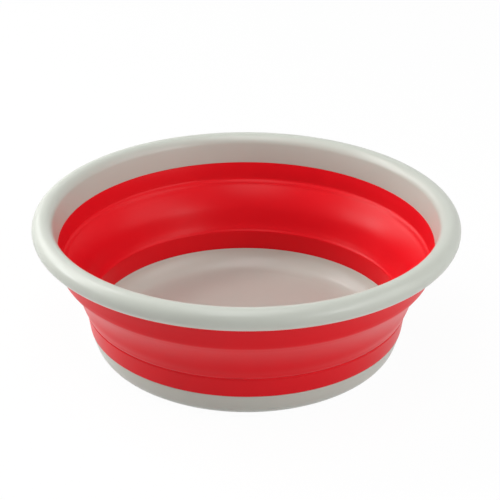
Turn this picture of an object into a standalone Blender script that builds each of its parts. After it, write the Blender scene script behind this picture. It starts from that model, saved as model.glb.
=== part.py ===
"""Collapsible wash basin, a round bowl that folds flat, standing open at its full height.

A hard rim ring and a hard base tray are joined by a soft wall. The wall has three stiff bands with a thin
fold between each two of them. When the rim is pushed down, the middle band turns inside out and the bands
end up one inside the other.

Frame: metres, +Z up, origin at the middle of the surface that the basin stands on. Every piece is turned
about the Z axis, which is also the line along which the rim and the middle band move.
"""

import math

import bpy
from mathutils import Vector
from mathutils.geometry import interpolate_bezier

# Rolled rim
RIM_RADIUS = 0.1900
ROLL_RADIUS = 0.0096
ROLL_WALL = 0.0022
ROLL_CURL_DEG = 108
ROLL_SEGMENTS = 16

# Grey band inside the rim, down to its seam with the soft wall
RIM_BAND_HEIGHT = 0.0168
RIM_BAND_TAPER = 0.0029
RIM_LAP_HEIGHT = 0.0055
RIM_LAP_WALL = 0.0013

# Soft wall: the height and the inward run of each band, and its wall
SOFT_WALL = 0.0026
UPPER_BAND_HEIGHT = 0.0172
UPPER_BAND_RUN = 0.0024
MIDDLE_BAND_HEIGHT = 0.0428
MIDDLE_BAND_RUN = 0.0198
LOWER_BAND_HEIGHT = 0.0191
LOWER_BAND_RUN = 0.0032
BAND_SEGMENTS = 6

# Upper fold: the middle band ends in a leaning tongue inside the thin lip of the upper one, under a crease
UPPER_LAP_HEIGHT = 0.0055
UPPER_LAP_RUN = 0.0021
RIDGE_RUN = 0.0015
RIDGE_DROP = 0.0010
CREASE_DEPTH = 0.0010
CREASE_HEIGHT = 0.0024

# Lower fold: the lower band ends in an upright tongue inside the lip of the middle one, over a groove
LOWER_LAP_HEIGHT = 0.0055
SHOULDER_RISE = 0.0040
SHOULDER_WALL = 0.0018
NOSE_WALL = 0.0011
GROOVE_DEPTH = 0.0010
GROOVE_HEIGHT = 0.0020
LEDGE_DROP = 0.0032
LEDGE_RUN = 0.0046

# Thin ends of the tongues and lips
TONGUE_TIP_WALL = 0.0006
LIP_TIP_WALL = 0.0005
LIP_CLEARANCE = 0.0007
FOLD_SEGMENTS = 3

# Lean of the wall from the upright at the ends of its curves
RIDGE_LEAN_DEG = 17
RIDGE_FOOT_LEAN_DEG = 33
MIDDLE_TOP_LEAN_DEG = 36
MIDDLE_FOOT_LEAN_DEG = 14
MIDDLE_INNER_TOP_LEAN_DEG = 35
MIDDLE_INNER_FOOT_LEAN_DEG = 16
LOWER_TOP_LEAN_DEG = 20
LOWER_FOOT_LEAN_DEG = 1
LEDGE_LEAN_DEG = 48
LEDGE_TOP_LEAN_DEG = 10

# Base tray
BASE_HEIGHT = 0.0231
BASE_WALL = 0.0020
BASE_LAP_WALL = 0.0010
SEAM_STEP = 0.0022
BASE_SIDE_LEAN_DEG = 17
BASE_CORNER_HEIGHT = 0.0110
BASE_CORNER_RADIUS = 0.0180
BASE_SEGMENTS = 7
FLOOR_THICKNESS = 0.0026
FLOOR_FILLET = 0.0080
FOOT_HEIGHT = 0.0015
FOOT_WIDTH = 0.0080
FOOT_EDGE = 0.0015

# Clearances between neighbours
FOLD_GAP = 0.0003
SEAM_GAP = 0.0003

# Turning
TURN_STEPS = 64
MERGE_DISTANCE = 0.00005
SHARP_ANGLE_DEG = 35

# Share of the straight distance that a curve's handle takes
HANDLE_SHARE = 1 / 3

# Colours of the two plastics
WARM_GREY = (0.610, 0.610, 0.550, 1.0)
SIGNAL_RED = (0.610, 0.010, 0.015, 1.0)
HARD_ROUGHNESS = 0.38
SOFT_ROUGHNESS = 0.50

# Heights, added up from the base
BASE_SEAM_Z = BASE_HEIGHT
LOWER_FOLD_Z = BASE_SEAM_Z + LOWER_BAND_HEIGHT
UPPER_FOLD_Z = LOWER_FOLD_Z + MIDDLE_BAND_HEIGHT
RIM_SEAM_Z = UPPER_FOLD_Z + UPPER_BAND_HEIGHT
ROLL_Z = RIM_SEAM_Z + RIM_BAND_HEIGHT

# Radii, worked inwards from the rim
ROLL_CENTRE_R = RIM_RADIUS - ROLL_RADIUS
RIM_BAND_TOP_R = ROLL_CENTRE_R - ROLL_RADIUS
RIM_SEAM_R = RIM_BAND_TOP_R - RIM_BAND_TAPER
UPPER_FOLD_R = RIM_SEAM_R - UPPER_BAND_RUN
LOWER_FOLD_R = UPPER_FOLD_R - MIDDLE_BAND_RUN
BASE_SEAM_R = LOWER_FOLD_R - LOWER_BAND_RUN

HALF_FOLD_GAP = FOLD_GAP / 2
HALF_SEAM_GAP = SEAM_GAP / 2


def arc(centre, radius, start_deg, end_deg, segments):
    """Points (r, z) on a circular arc, both ends included, with 0 degrees straight out."""
    points = []
    for i in range(segments + 1):
        angle = math.radians(start_deg + (end_deg - start_deg) * i / segments)
        points.append((centre[0] + radius * math.cos(angle), centre[1] + radius * math.sin(angle)))
    return points


def leaning_curve(start, start_lean_deg, end, end_lean_deg, segments):
    """Points (r, z) on a smooth curve whose ends lean outwards from the upright by the given angles."""
    start, end = Vector(start), Vector(end)
    climb = 1 if end.y > start.y else -1
    handle = HANDLE_SHARE * (end - start).length * climb
    lean_out = [Vector((math.sin(a), math.cos(a))) for a in map(math.radians, (start_lean_deg, end_lean_deg))]
    curve = interpolate_bezier(start, start + handle * lean_out[0], end - handle * lean_out[1], end, segments + 1)
    return [(p.x, p.y) for p in curve]


def tray_side_radius(z, inset):
    """Radius of the tray's straight leaning side at a height, some way in from its outer face."""
    lean = math.radians(BASE_SIDE_LEAN_DEG)
    return BASE_SEAM_R - (BASE_SEAM_Z - z) * math.tan(lean) - inset / math.cos(lean)


def tray_corner_centre():
    """Centre (r, z) of the arc that rounds the tray's side into its foot."""
    lean = math.radians(BASE_SIDE_LEAN_DEG)
    start_r = tray_side_radius(BASE_CORNER_HEIGHT, 0.0)
    return (
        start_r - BASE_CORNER_RADIUS * math.cos(lean),
        BASE_CORNER_HEIGHT + BASE_CORNER_RADIUS * math.sin(lean),
    )


def rim_ring_outline():
    """Hollow rolled lip, open underneath, with the grey band hanging from its inner side."""
    centre = (ROLL_CENTRE_R, ROLL_Z)
    roll_outside = arc(centre, ROLL_RADIUS, 180, -ROLL_CURL_DEG, ROLL_SEGMENTS)
    roll_inside = arc(centre, ROLL_RADIUS - ROLL_WALL, -ROLL_CURL_DEG, 180, ROLL_SEGMENTS)
    lap_top = RIM_SEAM_Z + RIM_LAP_HEIGHT + SEAM_GAP
    lap_r = RIM_SEAM_R + RIM_LAP_WALL
    seam_edge = RIM_SEAM_Z + HALF_SEAM_GAP
    band = [(RIM_BAND_TOP_R + ROLL_WALL, lap_top), (lap_r, lap_top), (lap_r, seam_edge), (RIM_SEAM_R, seam_edge)]
    return roll_outside + roll_inside + band


def upper_lap_foot():
    """Lower end (r, z) of the leaning joint face between the upper and the middle band."""
    return UPPER_FOLD_R - UPPER_LAP_RUN, UPPER_FOLD_Z - UPPER_LAP_HEIGHT


def upper_band_outline():
    """Band that hangs from the rim and ends in a thin lip over the middle band, with the inner crease above it."""
    lap_top = RIM_SEAM_Z + RIM_LAP_HEIGHT
    lap_r = RIM_SEAM_R + RIM_LAP_WALL + SEAM_GAP
    seam_edge = RIM_SEAM_Z - HALF_SEAM_GAP
    lip_r, lip_z = upper_lap_foot()
    lip_r += HALF_FOLD_GAP
    crease_r = UPPER_FOLD_R + HALF_FOLD_GAP
    ridge = (UPPER_FOLD_R + RIDGE_RUN, UPPER_FOLD_Z - RIDGE_DROP)
    outside = [(RIM_BAND_TOP_R + SOFT_WALL, lap_top), (RIM_SEAM_R + SOFT_WALL, RIM_SEAM_Z)]
    outside += leaning_curve(ridge, RIDGE_LEAN_DEG, (lip_r + LIP_TIP_WALL, lip_z), RIDGE_FOOT_LEAN_DEG, FOLD_SEGMENTS)
    inside = [
        (lip_r, lip_z),
        (crease_r, UPPER_FOLD_Z),
        (crease_r + CREASE_DEPTH, UPPER_FOLD_Z + CREASE_HEIGHT / 2),
        (crease_r, UPPER_FOLD_Z + CREASE_HEIGHT),
        (RIM_SEAM_R, seam_edge),
        (lap_r, seam_edge),
        (lap_r, lap_top),
    ]
    return outside + inside


def middle_band_outline():
    """Broad sloping band: its upper tongue leans inside the upper band, its lip stands outside the lower one."""
    tongue_tip = (UPPER_FOLD_R - HALF_FOLD_GAP, UPPER_FOLD_Z - FOLD_GAP)
    tongue_r, tongue_foot = upper_lap_foot()
    tongue_r -= HALF_FOLD_GAP
    shoulder = (LOWER_FOLD_R + HALF_FOLD_GAP + SHOULDER_WALL, LOWER_FOLD_Z + SHOULDER_RISE)
    lip_r = LOWER_FOLD_R + HALF_FOLD_GAP
    lip_z = LOWER_FOLD_Z + LIP_CLEARANCE
    inner_foot = (lip_r, LOWER_FOLD_Z + LOWER_LAP_HEIGHT + 2 * FOLD_GAP)
    outside = [tongue_tip, (tongue_r, tongue_foot)]
    outside += leaning_curve(
        (tongue_r, tongue_foot - LIP_CLEARANCE), MIDDLE_TOP_LEAN_DEG, shoulder, MIDDLE_FOOT_LEAN_DEG, BAND_SEGMENTS
    )
    lip = [(lip_r + NOSE_WALL, LOWER_FOLD_Z + SHOULDER_RISE / 2), (lip_r, lip_z)]
    inside = leaning_curve(
        inner_foot,
        MIDDLE_INNER_FOOT_LEAN_DEG,
        (tongue_tip[0] - TONGUE_TIP_WALL, tongue_tip[1]),
        MIDDLE_INNER_TOP_LEAN_DEG,
        BAND_SEGMENTS,
    )
    return outside + lip + inside


def lower_band_outline():
    """Upright band on the base: a tongue over an inner ledge, the outer groove, and a lap down inside the tray."""
    tongue_top = LOWER_FOLD_Z + LOWER_LAP_HEIGHT
    tongue_r = LOWER_FOLD_R - HALF_FOLD_GAP
    groove_top = LOWER_FOLD_Z + GROOVE_HEIGHT / 2
    groove_foot = groove_top - GROOVE_HEIGHT
    seam_edge = BASE_SEAM_Z + HALF_SEAM_GAP
    inner_seam_edge = seam_edge - SEAM_STEP
    lap_inset = BASE_LAP_WALL + SEAM_GAP
    ledge_foot = (LOWER_FOLD_R - LEDGE_RUN, LOWER_FOLD_Z - LEDGE_DROP)
    outside = [(tongue_r, tongue_top), (tongue_r, groove_top), (tongue_r - GROOVE_DEPTH, LOWER_FOLD_Z)]
    outside += leaning_curve(
        (tongue_r, groove_foot), LOWER_TOP_LEAN_DEG, (BASE_SEAM_R, seam_edge), LOWER_FOOT_LEAN_DEG, BAND_SEGMENTS
    )
    inside = [
        (tray_side_radius(seam_edge, lap_inset), seam_edge),
        (tray_side_radius(inner_seam_edge, lap_inset), inner_seam_edge),
        (tray_side_radius(inner_seam_edge, BASE_WALL), inner_seam_edge),
    ]
    inside += leaning_curve(
        ledge_foot, LEDGE_LEAN_DEG, (tongue_r - TONGUE_TIP_WALL, tongue_top), LEDGE_TOP_LEAN_DEG, BAND_SEGMENTS
    )
    return outside + inside


def base_tray_outline():
    """Open tray: flat floor, filleted and leaning side, stepped seat for the soft wall, foot ring underneath."""
    floor_z = FOOT_HEIGHT + FLOOR_THICKNESS
    seam_edge = BASE_SEAM_Z - HALF_SEAM_GAP
    inner_seam_edge = seam_edge - SEAM_STEP
    centre = tray_corner_centre()

    inner_corner = BASE_CORNER_RADIUS - BASE_WALL
    fillet_z = floor_z + FLOOR_FILLET
    reach = inner_corner - FLOOR_FILLET
    fillet_sine = (centre[1] - fillet_z) / reach
    fillet_centre = (centre[0] + math.sqrt(reach**2 - (centre[1] - fillet_z) ** 2), fillet_z)
    meeting_deg = -math.degrees(math.asin(fillet_sine))
    inside = [(0.0, floor_z)]
    inside += arc(fillet_centre, FLOOR_FILLET, -90, meeting_deg, FOLD_SEGMENTS)
    inside += arc(centre, inner_corner, meeting_deg, -BASE_SIDE_LEAN_DEG, FOLD_SEGMENTS)[1:]
    inside.append((tray_side_radius(inner_seam_edge, BASE_WALL), inner_seam_edge))
    seat = [
        (tray_side_radius(inner_seam_edge, BASE_LAP_WALL), inner_seam_edge),
        (tray_side_radius(seam_edge, BASE_LAP_WALL), seam_edge),
    ]

    edge_deg = -math.degrees(math.asin((centre[1] - FOOT_EDGE) / BASE_CORNER_RADIUS))
    outside = [(tray_side_radius(seam_edge, 0.0), seam_edge)]
    outside += arc(centre, BASE_CORNER_RADIUS, -BASE_SIDE_LEAN_DEG, edge_deg, BASE_SEGMENTS)
    foot_outer_r = outside[-1][0] - FOOT_EDGE * 3 / 2
    foot_inner_r = foot_outer_r - FOOT_WIDTH
    foot = [(foot_outer_r, 0.0), (foot_inner_r, 0.0), (foot_inner_r - FOOT_HEIGHT / 2, FOOT_HEIGHT), (0.0, FOOT_HEIGHT)]
    return inside + seat + outside + foot


def plastic(name, colour, roughness):
    """Opaque plastic with one colour."""
    material = bpy.data.materials.new(name)
    material.use_nodes = True
    shader = material.node_tree.nodes["Principled BSDF"]
    shader.inputs["Base Color"].default_value = colour
    shader.inputs["Roughness"].default_value = roughness
    shader.inputs["Metallic"].default_value = 0.0
    return material


def turn(name, outline, closed, material, carrier):
    """Turn an outline of (r, z) points about Z into one solid, held by the empty of its body."""
    mesh = bpy.data.meshes.new(name)
    edges = [(i, i + 1) for i in range(len(outline) - 1)]
    if closed:
        edges.append((len(outline) - 1, 0))
    mesh.from_pydata([(r, 0.0, z) for r, z in outline], edges, [])
    mesh.materials.append(material)
    piece = bpy.data.objects.new(name, mesh)
    bpy.context.scene.collection.objects.link(piece)
    piece.parent = carrier

    screw = piece.modifiers.new("turn", "SCREW")
    screw.axis = "Z"
    screw.angle = math.tau
    screw.steps = TURN_STEPS
    screw.render_steps = TURN_STEPS
    screw.use_merge_vertices = True
    screw.merge_threshold = MERGE_DISTANCE
    bpy.context.view_layer.objects.active = piece
    piece.select_set(True)
    bpy.ops.object.modifier_apply(modifier=screw.name)
    piece.select_set(False)
    mesh.shade_smooth()
    mesh.set_sharp_from_angle(angle=math.radians(SHARP_ANGLE_DEG))
    return piece


def body(name, height):
    """Empty on the Z axis that carries the pieces of one moving body."""
    carrier = bpy.data.objects.new(name, None)
    carrier.location = (0.0, 0.0, height)
    bpy.context.scene.collection.objects.link(carrier)
    return carrier


def main():
    for old in list(bpy.data.objects):
        bpy.data.objects.remove(old, do_unlink=True)

    hard_grey = plastic("hard_grey", WARM_GREY, HARD_ROUGHNESS)
    soft_red = plastic("soft_red", SIGNAL_RED, SOFT_ROUGHNESS)
    base = body("base_body", 0.0)
    middle = body("middle_body", 0.0)
    rim = body("rim_body", 0.0)

    turn("base_tray", base_tray_outline(), False, hard_grey, base)
    turn("lower_wall_band", lower_band_outline(), True, soft_red, base)
    turn("middle_wall_band", middle_band_outline(), True, soft_red, middle)
    turn("upper_wall_band", upper_band_outline(), True, soft_red, rim)
    turn("rim_ring", rim_ring_outline(), True, hard_grey, rim)


if __name__ == "__main__":
    main()
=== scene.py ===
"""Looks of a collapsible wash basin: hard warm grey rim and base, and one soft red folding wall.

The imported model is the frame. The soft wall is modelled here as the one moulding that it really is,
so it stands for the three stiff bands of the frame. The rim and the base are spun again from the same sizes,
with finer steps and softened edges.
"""

import logging
import math
from dataclasses import dataclass, field
from enum import Enum

import bpy
from mathutils import Matrix, Vector
from mathutils.geometry import interpolate_bezier


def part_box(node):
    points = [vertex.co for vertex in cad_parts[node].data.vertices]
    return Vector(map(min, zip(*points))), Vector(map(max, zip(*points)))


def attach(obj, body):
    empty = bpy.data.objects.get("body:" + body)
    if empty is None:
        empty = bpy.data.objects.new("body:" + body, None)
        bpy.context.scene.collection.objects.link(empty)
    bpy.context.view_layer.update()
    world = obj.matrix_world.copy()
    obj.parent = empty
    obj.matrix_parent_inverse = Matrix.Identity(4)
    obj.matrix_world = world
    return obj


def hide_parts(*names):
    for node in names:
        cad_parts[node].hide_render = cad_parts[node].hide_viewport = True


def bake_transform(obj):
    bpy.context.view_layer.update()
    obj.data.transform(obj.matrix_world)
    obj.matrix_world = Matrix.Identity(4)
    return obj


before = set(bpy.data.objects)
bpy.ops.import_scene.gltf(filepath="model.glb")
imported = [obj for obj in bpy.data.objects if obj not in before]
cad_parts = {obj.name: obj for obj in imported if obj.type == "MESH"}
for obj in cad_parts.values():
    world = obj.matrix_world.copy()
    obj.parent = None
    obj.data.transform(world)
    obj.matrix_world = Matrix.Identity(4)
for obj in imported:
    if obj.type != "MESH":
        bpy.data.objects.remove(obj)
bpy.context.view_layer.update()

log = logging.getLogger("basin")

Point = tuple[float, float]
Range = tuple[float, float]
Colour = tuple[float, float, float, float]


class Node(Enum):
    """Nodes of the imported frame."""

    RIM = "rim_ring"
    UPPER_BAND = "upper_wall_band"
    MIDDLE_BAND = "middle_wall_band"
    LOWER_BAND = "lower_wall_band"
    TRAY = "base_tray"


class Body(Enum):
    """Moving bodies of the frame."""

    RIM = "rim"
    BASE = "base"


class Slot(Enum):
    """Material slots of the record."""

    HARD = "hard_grey"
    SOFT = "soft_red"


@dataclass
class Profile:
    """Outline in the plane of radius and height, drawn point by point and then spun about the Z axis.

    Attributes:
        points: Radius and height of every point so far.
        handle_share: Share of a curve's straight distance that each of its handles takes.
    """

    points: list[Point] = field(default_factory=list)
    handle_share: float = 1 / 3

    def to(self, *points: Point) -> None:
        """Adds straight runs to the given points."""
        self.points.extend(points)

    def arc(self, centre: Point, radius: float, start_deg: float, end_deg: float, steps: int) -> None:
        """Adds an arc.

        Args:
            centre: Radius and height of the arc's centre.
            radius: Radius of the arc.
            start_deg: Angle of its first point, with 0 pointing straight out.
            end_deg: Angle of its last point.
            steps: Number of straight pieces.
        """
        for i in range(steps + 1):
            angle = math.radians(start_deg + (end_deg - start_deg) * i / steps)
            self.points.append((centre[0] + radius * math.cos(angle), centre[1] + radius * math.sin(angle)))

    def curve(self, lean_deg: float, end: Point, end_lean_deg: float, steps: int) -> None:
        """Adds a smooth curve from the last point, given by how far its ends lean out from the upright.

        Args:
            lean_deg: Outward lean of the wall at the last point.
            end: Where the curve ends.
            end_lean_deg: Outward lean of the wall there.
            steps: Number of straight pieces.
        """
        first, last = Vector(self.points[-1]), Vector(end)
        handle = self.handle_share * (last - first).length * (1 if last.y > first.y else -1)
        leans = math.radians(lean_deg), math.radians(end_lean_deg)
        leave, arrive = (Vector((math.sin(lean), math.cos(lean))) for lean in leans)
        knots = interpolate_bezier(first, first + handle * leave, last - handle * arrive, last, steps + 1)
        self.points.extend((p.x, p.y) for p in knots[1:])


@dataclass(frozen=True)
class Lathe:
    """Spins profiles into closed pieces with Blender's own edit tools.

    Attributes:
        steps: Number of steps round a piece.
        merge_distance: Distance within which points become one.
        edge_radius: Size of the rounding on sharp edges.
        edge_segments: Number of facets across that rounding.
        sharp_deg: Angle between two faces from which their edge is sharp.
    """

    steps: int = 288
    merge_distance: float = 0.00001
    edge_radius: float = 0.00035
    edge_segments: int = 3
    sharp_deg: float = 32.0

    def spin(self, name: str, profile: Profile, closed: bool) -> bpy.types.Object:
        """Draws the profile as a chain of extruded points and spins it into a solid.

        Args:
            name: Name of the piece.
            profile: Outline, clockwise with the radius to the right.
            closed: True for a ring; False where both ends lie on the axis.

        Returns:
            The finished piece, at the origin.
        """
        bpy.ops.object.select_all(action="DESELECT")
        radius, height = profile.points[0]
        bpy.ops.mesh.primitive_plane_add(size=self.edge_radius, location=(radius, 0.0, height))
        piece = bpy.context.object
        piece.name = piece.data.name = name
        bpy.ops.object.transform_apply(location=True, rotation=True, scale=True)

        # The small plane shrinks to the chain's first point.
        bpy.ops.object.mode_set(mode="EDIT")
        bpy.ops.mesh.select_mode(type="VERT")
        bpy.ops.mesh.select_all(action="SELECT")
        bpy.ops.mesh.merge(type="CENTER")
        chain = profile.points + profile.points[:1] if closed else profile.points
        for (r0, z0), (r1, z1) in zip(chain, chain[1:]):
            bpy.ops.mesh.extrude_region_move(TRANSFORM_OT_translate={"value": (r1 - r0, 0.0, z1 - z0)})

        bpy.ops.mesh.select_all(action="SELECT")
        bpy.ops.mesh.remove_doubles(threshold=self.merge_distance)
        bpy.ops.mesh.spin(steps=self.steps, angle=math.tau, center=(0.0, 0.0, 0.0), axis=(0.0, 0.0, 1.0))
        bpy.ops.mesh.select_all(action="SELECT")
        bpy.ops.mesh.remove_doubles(threshold=self.merge_distance)
        bpy.ops.mesh.normals_make_consistent(inside=False)
        bpy.ops.object.mode_set(mode="OBJECT")
        self.soften(piece)
        return piece

    def soften(self, piece: bpy.types.Object) -> None:
        """Rounds the sharp edges and shades the piece smooth.

        Args:
            piece: Active object, fresh from the spin.
        """
        bevel = piece.modifiers.new("soft_edges", "BEVEL")
        bevel.width = self.edge_radius
        bevel.segments = self.edge_segments
        bevel.limit_method = "ANGLE"
        bevel.angle_limit = math.radians(self.sharp_deg)
        bpy.ops.object.modifier_apply(modifier=bevel.name)
        bpy.ops.object.shade_smooth()
        bpy.ops.object.select_all(action="DESELECT")


@dataclass(frozen=True)
class Wiring:
    """Adds linked nodes to a node tree.

    Attributes:
        tree: Tree that the nodes go into.
    """

    tree: bpy.types.NodeTree

    def noise(self, place: bpy.types.NodeSocket, size: float, detail: float) -> bpy.types.NodeSocket:
        """Adds noise.

        Args:
            place: Coordinates that it is read at.
            size: Rough size of its features in metres.
            detail: Number of finer levels in it.

        Returns:
            The noise's value.
        """
        node = self.tree.nodes.new("ShaderNodeTexNoise")
        node.inputs["Scale"].default_value = 1 / size
        node.inputs["Detail"].default_value = detail
        self.tree.links.new(place, node.inputs["Vector"])
        return node.outputs["Fac"]

    def mapped(self, value: bpy.types.NodeSocket, source: Range, target: Range) -> bpy.types.NodeSocket:
        """Adds a straight mapping, clamped at both ends.

        Args:
            value: Value to map.
            source: Its lowest and highest reading.
            target: What these two become.

        Returns:
            The mapped value.
        """
        node = self.tree.nodes.new("ShaderNodeMapRange")
        node.inputs["From Min"].default_value, node.inputs["From Max"].default_value = source
        node.inputs["To Min"].default_value, node.inputs["To Max"].default_value = target
        self.tree.links.new(value, node.inputs["Value"])
        return node.outputs["Result"]

    def blended(self, share: bpy.types.NodeSocket, first: Colour, second: Colour) -> bpy.types.NodeSocket:
        """Adds a mix of two colours.

        Args:
            share: Share of the second colour.
            first: Colour where the share is 0.
            second: Colour where the share is 1.

        Returns:
            The mixed colour.
        """
        node = self.tree.nodes.new("ShaderNodeMix")
        node.data_type = "RGBA"
        node.inputs["A"].default_value = first
        node.inputs["B"].default_value = second
        self.tree.links.new(share, node.inputs["Factor"])
        return node.outputs["Result"]

    def bump(self, height: bpy.types.NodeSocket, depth: float) -> bpy.types.Node:
        """Adds a bump.

        Args:
            height: Pattern that raises the surface.
            depth: How far the pattern raises it, in metres.

        Returns:
            The bump's node.
        """
        node = self.tree.nodes.new("ShaderNodeBump")
        node.inputs["Distance"].default_value = depth
        self.tree.links.new(height, node.inputs["Height"])
        return node

    def seen_directly(self) -> bpy.types.NodeSocket:
        """Adds a value that is 1 for camera, glossy and transmission rays and 0 for all others.

        Returns:
            The value.
        """
        path = self.tree.nodes.new("ShaderNodeLightPath")
        seen = path.outputs["Is Camera Ray"]
        for ray in ("Is Glossy Ray", "Is Transmission Ray"):
            either = self.tree.nodes.new("ShaderNodeMath")
            either.operation = "MAXIMUM"
            self.tree.links.new(seen, either.inputs[0])
            self.tree.links.new(path.outputs[ray], either.inputs[1])
            seen = either.outputs[0]
        return seen


@dataclass(frozen=True)
class MouldedFinish:
    """Satin moulded plastic with a fine spark-eroded grain and a faint unevenness.

    Attributes:
        name: Name of the material.
        colour: Base colour, linear.
        shade: Colour of the slightly darker patches.
        roughness: Mean roughness.
        roughness_spread: How far the roughness wanders.
        grain_size: Size of the grain in metres.
        grain_depth: Height of the grain's bump in metres.
        wave_size: Size of the broad unevenness in metres.
        wave_depth: Height of the broad unevenness in metres.
        specular: Specular level.
        grain_detail: Number of finer levels in the grain.
        wave_detail: Number of finer levels in the broad unevenness.
        shade_range: Readings of the broad noise between which the shade turns into the colour.
        gloss_range: Readings of the broad noise between which the roughness wanders.
    """

    name: str
    colour: Colour
    shade: Colour
    roughness: float
    roughness_spread: float
    grain_size: float
    grain_depth: float
    wave_size: float
    wave_depth: float
    specular: float
    grain_detail: float = 2.0
    wave_detail: float = 3.0
    shade_range: Range = (0.35, 0.65)
    gloss_range: Range = (0.3, 0.7)

    def build(self) -> bpy.types.Material:
        """Builds the node tree.

        Returns:
            The material.
        """
        material = bpy.data.materials.new(self.name)
        material.use_nodes = True
        tree = material.node_tree
        wiring = Wiring(tree)
        shader = tree.nodes["Principled BSDF"]
        place = tree.nodes.new("ShaderNodeTexCoord").outputs["Object"]
        waves = wiring.noise(place, self.wave_size, self.wave_detail)
        grain = wiring.noise(place, self.grain_size, self.grain_detail)

        patches = wiring.mapped(waves, self.shade_range, (0.0, 1.0))
        tree.links.new(wiring.blended(patches, self.shade, self.colour), shader.inputs["Base Color"])
        smoothest, roughest = self.roughness - self.roughness_spread, self.roughness + self.roughness_spread
        gloss = wiring.mapped(waves, self.gloss_range, (smoothest, roughest))
        tree.links.new(gloss, shader.inputs["Roughness"])

        unevenness = wiring.bump(waves, self.wave_depth)
        tooth = wiring.bump(grain, self.grain_depth)
        tree.links.new(unevenness.outputs["Normal"], tooth.inputs["Normal"])
        tree.links.new(tooth.outputs["Normal"], shader.inputs["Normal"])
        shader.inputs["Specular IOR Level"].default_value = self.specular
        return material


GREY_PLASTIC = MouldedFinish(
    name="warm_grey_polypropylene",
    colour=(0.500, 0.520, 0.468, 1.0),
    shade=(0.494, 0.514, 0.462, 1.0),
    roughness=0.31,
    roughness_spread=0.012,
    grain_size=0.0006,
    grain_depth=0.000012,
    wave_size=0.030,
    wave_depth=0.00004,
    specular=0.35,
)

RED_RUBBER = MouldedFinish(
    name="satin_red_elastomer",
    colour=(0.705, 0.0060, 0.0125, 1.0),
    shade=(0.690, 0.0057, 0.0120, 1.0),
    roughness=0.33,
    roughness_spread=0.02,
    grain_size=0.0005,
    grain_depth=0.000012,
    wave_size=0.040,
    wave_depth=0.00015,
    specular=0.13,
)


@dataclass
class BasinSizes:
    """Heights and radii that the pieces share, read from the frame.

    Attributes:
        seam_gap: Gap that the frame keeps between the hard pieces and the soft wall.
        seam_step: How much lower the base seam lies inside than outside.
        hair: Gap that each visible piece keeps to the middle of a seam.
        fold_gap: Gap between the bands of the frame.
        lower_lap: Height of the lower band's tongue above the lower fold in the frame.
        rim_radius: Outer radius of the rim.
        rim_top: Height of the rim's top.
        rim_seam: Height of the seam between the rim and the soft wall.
        upper_fold: Height of the upper fold.
        upper_fold_radius: Radius of the upper fold.
        lower_fold: Height of the lower fold.
        lower_fold_radius: Radius of the lower fold.
        base_seam: Height of the seam between the soft wall and the tray, outside.
        base_seam_radius: Outer radius of the tray at that seam.
    """

    seam_gap: float = 0.0003
    seam_step: float = 0.0022
    hair: float = 0.00005
    fold_gap: float = 0.0003
    lower_lap: float = 0.0055
    rim_radius: float = field(init=False)
    rim_top: float = field(init=False)
    rim_seam: float = field(init=False)
    upper_fold: float = field(init=False)
    upper_fold_radius: float = field(init=False)
    lower_fold: float = field(init=False)
    lower_fold_radius: float = field(init=False)
    base_seam: float = field(init=False)
    base_seam_radius: float = field(init=False)

    def __post_init__(self) -> None:
        """Reads the shared sizes from the boxes of the frame's nodes."""
        rim_low, rim_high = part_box(Node.RIM.value)
        _, middle_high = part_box(Node.MIDDLE_BAND.value)
        _, lower_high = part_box(Node.LOWER_BAND.value)
        _, tray_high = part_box(Node.TRAY.value)
        self.rim_radius = rim_high[0]
        self.rim_top = rim_high[2]
        self.rim_seam = rim_low[2] - self.seam_gap / 2
        self.upper_fold = middle_high[2] + self.fold_gap
        self.upper_fold_radius = middle_high[0] + self.fold_gap / 2
        self.lower_fold = lower_high[2] - self.lower_lap
        self.lower_fold_radius = lower_high[0] + self.fold_gap / 2
        self.base_seam = tray_high[2] + self.seam_gap / 2
        self.base_seam_radius = tray_high[0]

    def by_upper_fold(self, out: float, up: float) -> Point:
        """Point so far outwards and upwards of the upper fold."""
        return self.upper_fold_radius + out, self.upper_fold + up

    def by_lower_fold(self, out: float, up: float) -> Point:
        """Point so far outwards and upwards of the lower fold."""
        return self.lower_fold_radius + out, self.lower_fold + up


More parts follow.
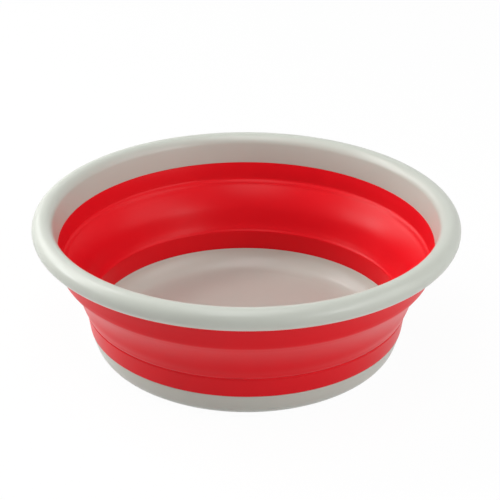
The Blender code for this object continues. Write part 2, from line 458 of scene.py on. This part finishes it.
@dataclass
class RimRing:
    """Hard ring: a hollow rolled lip with a plain band below its inner side.

    Attributes:
        sizes: Sizes shared with the neighbours.
        roll_radius: Outer radius of the roll's section.
        wall: Thickness of the plastic.
        curl_deg: How far the roll turns in under itself past its outermost point.
        band_taper: How much the band closes in from the roll to the seam.
        lap_height: How far the soft wall climbs behind the band.
        lap_wall: Thickness of the band there.
        outer_steps: Number of steps round the outside of the roll.
        inner_steps: Number of steps round its hollow.
    """

    sizes: BasinSizes
    roll_radius: float = 0.0096
    wall: float = 0.0022
    curl_deg: float = 108.0
    band_taper: float = 0.0029
    lap_height: float = 0.0055
    lap_wall: float = 0.0013
    outer_steps: int = 48
    inner_steps: int = 36

    @property
    def roll_centre(self) -> Point:
        """Centre of the roll's section."""
        return self.sizes.rim_radius - self.roll_radius, self.sizes.rim_top - self.roll_radius

    @property
    def mouth_radius(self) -> float:
        """Radius of the roll's innermost point."""
        return self.roll_centre[0] - self.roll_radius

    @property
    def seam_radius(self) -> float:
        """Inner radius of the band at the seam."""
        return self.mouth_radius - self.band_taper

    @property
    def band_lean_deg(self) -> float:
        """Lean of the band, which runs from the seam to touch the roll."""
        out, up = self.roll_centre[0] - self.seam_radius, self.roll_centre[1] - self.sizes.rim_seam
        return math.degrees(math.atan2(out, up) - math.asin(self.roll_radius / math.hypot(out, up)))

    def build(self, lathe: Lathe) -> bpy.types.Object:
        """Models the ring.

        Args:
            lathe: Lathe that spins the profile.

        Returns:
            The ring, riding on the rim's body.
        """
        centre, seam = self.roll_centre, self.sizes.rim_seam + self.sizes.hair
        lap_top = self.sizes.rim_seam + self.lap_height + self.sizes.seam_gap
        lap_radius = self.seam_radius + self.lap_wall
        profile = Profile()
        profile.arc(centre, self.roll_radius, 180 - self.band_lean_deg, -self.curl_deg, self.outer_steps)
        profile.arc(centre, self.roll_radius - self.wall, -self.curl_deg, 180, self.inner_steps)
        profile.to((self.mouth_radius + self.wall, lap_top), (lap_radius, lap_top))
        profile.to((lap_radius, seam), (self.seam_radius, seam))
        piece = lathe.spin("rolled_rim", profile, closed=True)
        piece.data.materials.append(GREY_PLASTIC.build())
        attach(piece, Body.RIM.value)
        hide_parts(Node.RIM.value)
        return piece


@dataclass
class BaseTray:
    """Hard tray: a flat floor, a filleted and rounded side, and a foot ring underneath.

    Attributes:
        sizes: Sizes shared with the neighbours.
        wall: Thickness of the side.
        lap_wall: Thickness of the step that the soft wall stands behind.
        side_lean_deg: Outward lean of the straight side.
        corner_height: Height at which the side starts to round in to the foot.
        corner_radius: Outer radius of that corner.
        floor: Thickness of the floor.
        fillet: Radius between the floor and the side.
        foot_height: How far the foot ring stands below the raised middle.
        foot_width: Width of the foot ring.
        foot_edge: Height at which the corner passes into the flattened edge of the foot ring.
        fillet_steps: Number of steps along the fillet.
        corner_steps: Number of steps along the corner.
    """

    sizes: BasinSizes
    wall: float = 0.0020
    lap_wall: float = 0.0010
    side_lean_deg: float = 17.0
    corner_height: float = 0.0110
    corner_radius: float = 0.0180
    floor: float = 0.0026
    fillet: float = 0.0215
    foot_height: float = 0.0015
    foot_width: float = 0.0080
    foot_edge: float = 0.0015
    fillet_steps: int = 20
    corner_steps: int = 18

    def side_radius(self, height: float, inset: float) -> float:
        """Finds the radius of the straight leaning side.

        Args:
            height: Height at which it is taken.
            inset: How far in from the outer face, square to it.

        Returns:
            The radius.
        """
        lean = math.radians(self.side_lean_deg)
        seam = self.sizes.base_seam
        return self.sizes.base_seam_radius - (seam - height) * math.tan(lean) - inset / math.cos(lean)

    @property
    def corner_centre(self) -> Point:
        """Finds the centre of the arc that rounds the side into the foot.

        Returns:
            Its radius and height.
        """
        lean = math.radians(self.side_lean_deg)
        start = self.side_radius(self.corner_height, 0.0)
        out, up = self.corner_radius * math.cos(lean), self.corner_radius * math.sin(lean)
        return start - out, self.corner_height + up

    def build(self, lathe: Lathe) -> bpy.types.Object:
        """Models the tray.

        Args:
            lathe: Lathe that spins the profile.

        Returns:
            The tray, riding on the base's body.
        """
        profile = Profile()
        self.draw_inside(profile)
        self.draw_outside(profile)
        piece = lathe.spin("floor_tray", profile, closed=False)
        piece.data.materials.append(GREY_PLASTIC.build())
        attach(piece, Body.BASE.value)
        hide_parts(Node.TRAY.value)
        return piece

    def draw_inside(self, profile: Profile) -> None:
        """Adds the inside, from the middle of the floor up to the step behind the soft wall.

        Args:
            profile: Empty profile.
        """
        seam = self.sizes.base_seam - self.sizes.hair
        inner_seam = seam - self.sizes.seam_step
        floor_z = self.foot_height + self.floor
        fillet_z = floor_z + self.fillet
        fillet_centre = (self.side_radius(fillet_z, self.wall + self.fillet), fillet_z)
        profile.to((0.0, floor_z))
        profile.arc(fillet_centre, self.fillet, -90, -self.side_lean_deg, self.fillet_steps)
        profile.to((self.side_radius(inner_seam, self.wall), inner_seam))
        profile.to((self.side_radius(inner_seam, self.lap_wall), inner_seam))
        profile.to((self.side_radius(seam, self.lap_wall), seam), (self.side_radius(seam, 0.0), seam))

    def draw_outside(self, profile: Profile) -> None:
        """Adds the outside, down the rounded side, round the foot ring and in to the middle.

        Args:
            profile: Profile that ends at the top of the side.
        """
        centre, edge = self.corner_centre, self.foot_edge
        foot_deg = -math.degrees(math.asin((centre[1] - edge) / self.corner_radius))
        profile.arc(centre, self.corner_radius, -self.side_lean_deg, foot_deg, self.corner_steps)
        foot_outer = profile.points[-1][0] - edge * 3 / 2
        foot_inner = foot_outer - self.foot_width
        profile.to((foot_outer + edge / 2, edge / 4), (foot_outer, 0.0), (foot_inner, 0.0))
        profile.to((foot_inner - self.foot_height / 2, self.foot_height), (0.0, self.foot_height))


@dataclass
class FoldingWall:
    """Soft wall in one piece: three stiff bands and the two thin folds between them.

    Attributes:
        sizes: Sizes shared with the neighbours.
        rim: Ring that the wall hangs from.
        tray: Tray that the wall stands on.
        wall: Thickness of the bands.
    """

    sizes: BasinSizes
    rim: RimRing
    tray: BaseTray
    wall: float = 0.0026

    def outline(self) -> Profile:
        """Draws the wall's section, down its outside and up its inside.

        Returns:
            The closed profile.
        """
        sizes, rim, tray = self.sizes, self.rim, self.tray
        rim_seam, base_seam = sizes.rim_seam - sizes.hair, sizes.base_seam + sizes.hair
        inner_seam = base_seam - sizes.seam_step
        lap_top = sizes.rim_seam + rim.lap_height
        lap_radius = rim.seam_radius + rim.lap_wall + sizes.seam_gap
        lap_inset = tray.lap_wall + sizes.seam_gap

        profile = Profile()
        profile.to((rim.mouth_radius + self.wall, lap_top), (rim.seam_radius + self.wall, sizes.rim_seam))
        self.outer_folds(profile)
        profile.curve(lean_deg=12, end=(sizes.base_seam_radius, base_seam), end_lean_deg=9, steps=14)
        profile.to((tray.side_radius(base_seam, lap_inset), base_seam))
        profile.to((tray.side_radius(inner_seam, lap_inset), inner_seam))
        profile.to((tray.side_radius(inner_seam, tray.wall), inner_seam))
        self.inner_folds(profile)
        profile.to((rim.seam_radius, rim_seam), (lap_radius, rim_seam), (lap_radius, lap_top))
        return profile

    def outer_folds(self, profile: Profile) -> None:
        """Adds the outside, downwards: the rounded ridge, the broad band, its nose and the soft groove below.

        Args:
            profile: Profile that ends above the ridge.
        """
        ridge_top = self.sizes.by_upper_fold(0.00225, 0.0025)
        ridge = self.sizes.by_upper_fold(0.0015, -0.0004)
        ridge_foot = self.sizes.by_upper_fold(0.00025, -0.0031)
        band_top = self.sizes.by_upper_fold(-0.00255, -0.0070)
        band_foot = self.sizes.by_lower_fold(0.0047, 0.0128)
        nose_top = self.sizes.by_lower_fold(0.0023, 0.0060)
        nose = self.sizes.by_lower_fold(0.0010, 0.0026)
        groove_top = self.sizes.by_lower_fold(-0.0003, 0.0006)
        groove = self.sizes.by_lower_fold(-0.0007, -0.0004)
        groove_foot = self.sizes.by_lower_fold(-0.0005, -0.0018)

        profile.to(ridge_top)
        profile.curve(lean_deg=12, end=ridge, end_lean_deg=14, steps=4)
        profile.curve(lean_deg=14, end=ridge_foot, end_lean_deg=37, steps=8)
        profile.curve(lean_deg=37, end=band_top, end_lean_deg=37, steps=4)
        profile.curve(lean_deg=37, end=band_foot, end_lean_deg=17, steps=18)
        profile.curve(lean_deg=17, end=nose_top, end_lean_deg=24, steps=6)
        profile.curve(lean_deg=24, end=nose, end_lean_deg=22, steps=5)
        profile.curve(lean_deg=24, end=groove_top, end_lean_deg=48, steps=6)
        profile.curve(lean_deg=48, end=groove, end_lean_deg=-4, steps=6)
        profile.curve(lean_deg=-4, end=groove_foot, end_lean_deg=10, steps=6)

    def inner_folds(self, profile: Profile) -> None:
        """Adds the inside, upwards: the ledge, the broad band, its shoulder, the fine bead and the crease.

        Args:
            profile: Profile that ends at the inner side of the base seam.
        """
        ledge_foot = self.sizes.by_lower_fold(-0.0047, -0.0040)
        ledge_edge = self.sizes.by_lower_fold(-0.0040, -0.0022)
        ledge = self.sizes.by_lower_fold(-0.0022, 0.0009)
        band_foot = self.sizes.by_lower_fold(-0.0006, 0.0046)
        band_middle = self.sizes.by_lower_fold(0.0034, 0.0168)
        shoulder = self.sizes.by_upper_fold(-0.0056, -0.0073)
        bead_foot = self.sizes.by_upper_fold(-0.0022, -0.0028)
        bead_top = self.sizes.by_upper_fold(-0.0005, -0.0006)
        crease = self.sizes.by_upper_fold(0.0005, 0.0014)
        upper_band_foot = self.sizes.by_upper_fold(0.0006, 0.0030)

        profile.curve(lean_deg=4, end=ledge_foot, end_lean_deg=4, steps=6)
        profile.curve(lean_deg=4, end=ledge_edge, end_lean_deg=46, steps=6)
        profile.curve(lean_deg=46, end=ledge, end_lean_deg=27, steps=4)
        profile.curve(lean_deg=27, end=band_foot, end_lean_deg=20, steps=5)
        profile.curve(lean_deg=20, end=band_middle, end_lean_deg=19, steps=8)
        profile.curve(lean_deg=19, end=shoulder, end_lean_deg=38, steps=14)
        profile.curve(lean_deg=38, end=bead_foot, end_lean_deg=27, steps=8)
        profile.curve(lean_deg=27, end=bead_top, end_lean_deg=46, steps=6)
        profile.curve(lean_deg=46, end=crease, end_lean_deg=14, steps=6)
        profile.curve(lean_deg=14, end=upper_band_foot, end_lean_deg=4, steps=4)

    def build(self, lathe: Lathe) -> bpy.types.Object:
        """Models the wall.

        Args:
            lathe: Lathe that spins the profile.

        Returns:
            The wall, with its place baked into its mesh and attached to neither body.
        """
        piece = lathe.spin("folding_wall", self.outline(), closed=True)
        piece.data.materials.append(RED_RUBBER.build())
        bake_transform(piece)
        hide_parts(Node.UPPER_BAND.value, Node.MIDDLE_BAND.value, Node.LOWER_BAND.value)
        return piece


@dataclass(frozen=True)
class Softbox:
    """Square area lamp that faces the basin.

    Attributes:
        name: Name of the lamp.
        azimuth_deg: Where it stands round the basin: 0 is to the right, 90 behind.
        height_deg: How high it stands, seen from the basin.
        width: Width of its face.
        watts: Power.
        distance: Distance from the basin.
    """

    name: str
    azimuth_deg: float
    height_deg: float
    width: float
    watts: float
    distance: float = 2.0

    def build(self) -> None:
        """Adds the lamp, aimed at the basin."""
        turn, climb = math.radians(self.azimuth_deg), math.radians(self.height_deg)
        away = Vector((math.cos(turn) * math.cos(climb), math.sin(turn) * math.cos(climb), math.sin(climb)))
        bpy.ops.object.light_add(type="AREA", location=self.distance * away)
        lamp = bpy.context.object
        lamp.name = self.name
        lamp.data.size = self.width
        lamp.data.energy = self.watts
        lamp.rotation_euler = (-away).to_track_quat("-Z", "Y").to_euler()


@dataclass
class Studio:
    """Pale floor, soft light and the camera at the photograph's place.

    Attributes:
        camera_place: Camera position in metres.
        camera_tilt_deg: How far the camera looks down.
        camera_roll_deg: How far the camera is turned about its line of sight.
        lens_mm: Focal length.
        sensor_mm: Width of the sensor.
        floor_size: Width of the floor.
        floor_gap: How far the floor lies below the foot, so that the two faces don't coincide.
        floor_tone: Brightness of the matt floor under its white.
        floor_white: Share of plain white in the floor as the camera sees it.
        sky: Strength of the white surroundings as a light.
        softboxes: The lamps.
    """

    camera_place: tuple[float, float, float] = (0.00328, -1.23723, 0.71114)
    camera_tilt_deg: float = 26.690
    camera_roll_deg: float = 0.239
    lens_mm: float = 110.85
    sensor_mm: float = 36.0
    floor_size: float = 12.0
    floor_gap: float = 0.0002
    floor_tone: float = 0.86
    floor_white: float = 0.965
    sky: float = 0.03
    softboxes: tuple[Softbox, ...] = (
        Softbox("left_key", azimuth_deg=166, height_deg=44, width=0.4, watts=6.0),
        Softbox("left_low", azimuth_deg=168, height_deg=24, width=0.4, watts=8.8),
        Softbox("left_side", azimuth_deg=186, height_deg=28, width=0.6, watts=6.5),
        Softbox("left_back", azimuth_deg=150, height_deg=30, width=0.6, watts=6.0),
        Softbox("back_left", azimuth_deg=130, height_deg=28, width=0.8, watts=6.0),
        Softbox("back_high", azimuth_deg=144, height_deg=53, width=0.3, watts=6.5),
        Softbox("right_wide", azimuth_deg=-18, height_deg=28, width=1.4, watts=14.4),
        Softbox("right_front", azimuth_deg=-45, height_deg=20, width=0.6, watts=7.8),
        Softbox("overhead", azimuth_deg=0, height_deg=89, width=0.8, watts=9.0),
        Softbox("front_high", azimuth_deg=-100, height_deg=63, width=0.8, watts=9.8),
    )

    def build_camera(self) -> None:
        """Adds the camera and makes it the scene's."""
        look = Matrix.Rotation(math.radians(90 - self.camera_tilt_deg), 3, "X")
        look = look @ Matrix.Rotation(math.radians(self.camera_roll_deg), 3, "Z")
        bpy.ops.object.camera_add(location=self.camera_place, rotation=look.to_euler())
        camera = bpy.context.object
        camera.name = "photo_camera"
        camera.data.sensor_width = self.sensor_mm
        camera.data.lens = self.lens_mm
        bpy.context.scene.camera = camera

    def build_floor(self) -> None:
        """Adds the pale floor, which keeps a faint shadow of the basin."""
        bpy.ops.mesh.primitive_plane_add(size=self.floor_size, location=(0.0, 0.0, -self.floor_gap))
        floor = bpy.context.object
        floor.name = "studio_floor"
        material = bpy.data.materials.new("studio_white")
        material.use_nodes = True
        tree = material.node_tree
        tree.nodes.remove(tree.nodes["Principled BSDF"])
        matt = tree.nodes.new("ShaderNodeBsdfDiffuse")
        matt.inputs["Color"].default_value = (self.floor_tone, self.floor_tone, self.floor_tone, 1.0)
        white = tree.nodes.new("ShaderNodeEmission")
        mix = tree.nodes.new("ShaderNodeMixShader")
        wiring = Wiring(tree)
        share = wiring.mapped(wiring.seen_directly(), (0.0, 1.0), (0.0, self.floor_white))
        tree.links.new(share, mix.inputs["Fac"])
        tree.links.new(matt.outputs[0], mix.inputs[1])
        tree.links.new(white.outputs[0], mix.inputs[2])
        tree.links.new(mix.outputs[0], tree.nodes["Material Output"].inputs["Surface"])
        floor.data.materials.append(material)

    def build_sky(self) -> None:
        """Makes the surroundings white to the camera and a soft light to the basin."""
        world = bpy.data.worlds.new("studio_sky")
        world.use_nodes = True
        tree = world.node_tree
        back = tree.nodes["Background"]
        wiring = Wiring(tree)
        strength = wiring.mapped(wiring.seen_directly(), (0.0, 1.0), (self.sky, 1.0))
        tree.links.new(strength, back.inputs["Strength"])
        back.inputs["Color"].default_value = (1.0, 1.0, 1.0, 1.0)
        bpy.context.scene.world = world

    def build(self) -> None:
        """Builds the whole studio."""
        bpy.context.scene.view_settings.view_transform = "Standard"
        self.build_camera()
        self.build_floor()
        self.build_sky()
        for softbox in self.softboxes:
            softbox.build()


def main() -> None:
    """Builds the studio and the basin, and reports each piece."""
    logging.basicConfig(level=logging.INFO, format="%(name)s: %(message)s")
    Studio().build()
    lathe = Lathe()
    sizes = BasinSizes()
    rim = RimRing(sizes)
    tray = BaseTray(sizes)
    wall = FoldingWall(sizes, rim, tray)
    for piece in (rim.build(lathe), tray.build(lathe), wall.build(lathe)):
        log.info("%s: %d faces", piece.name, len(piece.data.polygons))


if __name__ == "__main__":
    main()
